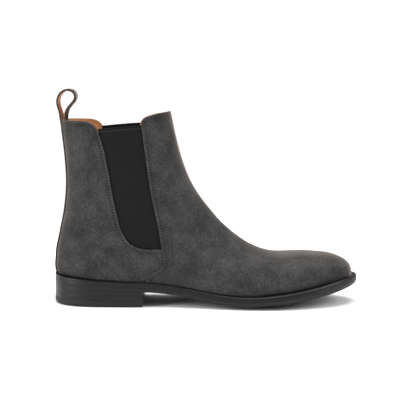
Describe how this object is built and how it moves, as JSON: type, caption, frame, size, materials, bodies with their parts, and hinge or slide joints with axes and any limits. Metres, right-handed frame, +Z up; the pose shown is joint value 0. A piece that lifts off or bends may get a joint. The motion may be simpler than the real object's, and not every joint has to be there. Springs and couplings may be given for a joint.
{
  "type": "chelsea boot",
  "caption": "Ankle-high pull-on dress boot in suede with elastic side gussets, a rear pull loop, a welted sole and a low stacked heel.",
  "frame": {"origin": "centre of the heel's ground face", "axes": "+X to the toe, +Y to the inner side of the right foot, +Z up"},
  "size_m": [0.3037, 0.1039, 0.2143],
  "materials": {
    "suede": "brushed suede nap",
    "elastic": "ribbed woven elastic",
    "lining_leather": "smooth tan calf",
    "backer_cloth": "plain cotton",
    "stiffener": "pressed leather board",
    "welt_leather": "black, waxed edge",
    "sole_leather": "black, burnished",
    "heel_leather": "black, burnished",
    "heel_rubber": "satin moulded rubber",
    "insole_leather": "natural",
    "cork": "granulated cork",
    "spring_steel": "oiled",
    "foam": "soft foam",
    "thread": "waxed polyester",
    "brass_nails": "plain"
  },
  "bodies": {
    "boot": {"back_strap": "suede", "cork_filler": "cork", "heel_counter": "stiffener", "heel_lift": "heel_leather", "heel_nails": "brass_nails", "heel_pad": "foam", "heel_rand": "welt_leather", "heel_seat_filler": "cork", "heel_wedge": "heel_leather", "inner_gore": "elastic", "inner_quarter": "suede", "inner_quarter_backer": "backer_cloth", "inner_quarter_lining": "lining_leather", "inner_quarter_thread": "thread", "inner_seam_thread": "thread", "inner_vamp_thread": "thread", "insole": "insole_leather", "insole_rib": "insole_leather", "outer_gore": "elastic", "outer_quarter": "suede", "outer_quarter_backer": "backer_cloth", "outer_quarter_lining": "lining_leather", "outer_quarter_thread": "thread", "outer_seam_thread": "thread", "outer_vamp_thread": "thread", "outsole": "sole_leather", "pull_loop_bend": "suede", "pull_loop_tail": "lining_leather", "shank": "spring_steel", "sock_lining": "lining_leather", "toe_puff": "stiffener", "top_lift": "heel_rubber", "top_lift_nails": "brass_nails", "vamp": "suede", "vamp_backer": "backer_cloth", "vamp_lining": "lining_leather", "welt": "welt_leather", "welt_thread": "thread"},
    "pull_loop": {"pull_loop": "suede", "pull_loop_lining": "lining_leather"}
  },
  "joints": [
    {"name": "pull_loop_hinge", "type": "hinge", "parent": "boot", "child": "pull_loop", "pos_m": [-0.0355, 0, 0.1862], "axis": [0, 1, 0], "range_deg": [-30, 35], "stiffness_Nm_per_rad": 0.02, "deforming": ["pull_loop_bend"]}
  ]
}
